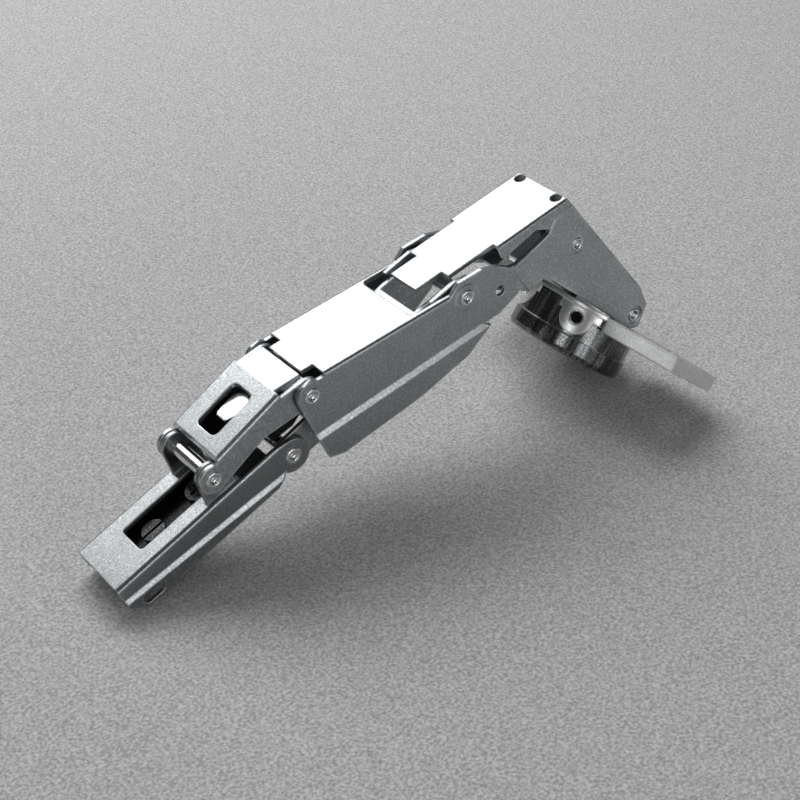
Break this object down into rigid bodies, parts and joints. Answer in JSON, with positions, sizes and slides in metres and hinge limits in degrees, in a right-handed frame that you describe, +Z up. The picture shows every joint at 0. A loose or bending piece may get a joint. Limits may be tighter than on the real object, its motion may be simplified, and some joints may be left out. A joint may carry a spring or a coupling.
{
  "type": "wide-angle concealed cabinet hinge",
  "caption": "Sprung concealed hinge of folded sheet steel: slotted arm, linked channels that fold over each other, and a round cup with a screw flange for a cabinet door.",
  "frame": {"origin": "middle of the underside of the arm's rear bridge, the face that seats on a mounting plate", "axes": "+X along the arm toward the cup, +Y along the pivot pins to the far side, +Z up out of the arm's top"},
  "size_m": [0.165, 0.078, 0.0865],
  "materials": {
    "plated_sheet": "satin nickel plate on pressed sheet steel",
    "polished_plate": "bright nickel plate",
    "pin_steel": "turned and riveted steel",
    "screw_steel": "plated screw",
    "dark_steel": "oiled dark steel"
  },
  "bodies": {
    "arm_body": {"arm": "plated_sheet", "adjusting_plate": "dark_steel", "overlay_screw": "screw_steel", "depth_screw": "screw_steel", "nose_pin": "pin_steel"},
    "window_body": {"window_link": "plated_sheet", "arm_pin": "pin_steel"},
    "middle_body": {"middle_channel": "plated_sheet", "link_pin": "pin_steel", "link_washers": "pin_steel", "front_pin": "pin_steel", "front_washers": "pin_steel"},
    "inner_body": {"inner_lever": "plated_sheet"},
    "front_body": {"front_lever": "plated_sheet", "spring_pin": "pin_steel", "cup_pin": "pin_steel", "closing_spring": "dark_steel"},
    "cup_body": {"cup_shell": "polished_plate", "cup_flange": "polished_plate", "cup_bracket": "plated_sheet"}
  },
  "joints": [
    {"name": "arm_fold", "type": "hinge", "parent": "arm_body", "child": "window_body", "pos_m": [0.03, 0, 0.008], "axis": [0, -1, 0], "range_deg": [0, 140]},
    {"name": "channel_turn", "type": "hinge", "parent": "window_body", "child": "middle_body", "pos_m": [0.0613, 0, 0.0088], "axis": [0, -1, 0], "range_deg": [-94, 0]},
    {"name": "inner_turn", "type": "hinge", "parent": "arm_body", "child": "inner_body", "pos_m": [0.0498, 0, -0.0045], "axis": [0, -1, 0], "range_deg": [0, 90]},
    {"name": "front_turn", "type": "hinge", "parent": "middle_body", "child": "front_body", "pos_m": [0.1097, 0, -0.0016], "axis": [0, -1, 0], "range_deg": [-44, 0]},
    {"name": "cup_turn", "type": "hinge", "parent": "front_body", "child": "cup_body", "pos_m": [0.155, 0, -0.0547], "axis": [0, -1, 0], "range_deg": [0, 151]}
  ],
  "couplings": [
    {"joint": "channel_turn", "follows": "arm_fold", "ratio": -0.67143},
    {"joint": "inner_turn", "follows": "arm_fold", "ratio": 0.64286},
    {"joint": "front_turn", "follows": "arm_fold", "ratio": -0.31428},
    {"joint": "cup_turn", "follows": "arm_fold", "ratio": 1.0786}
  ]
}
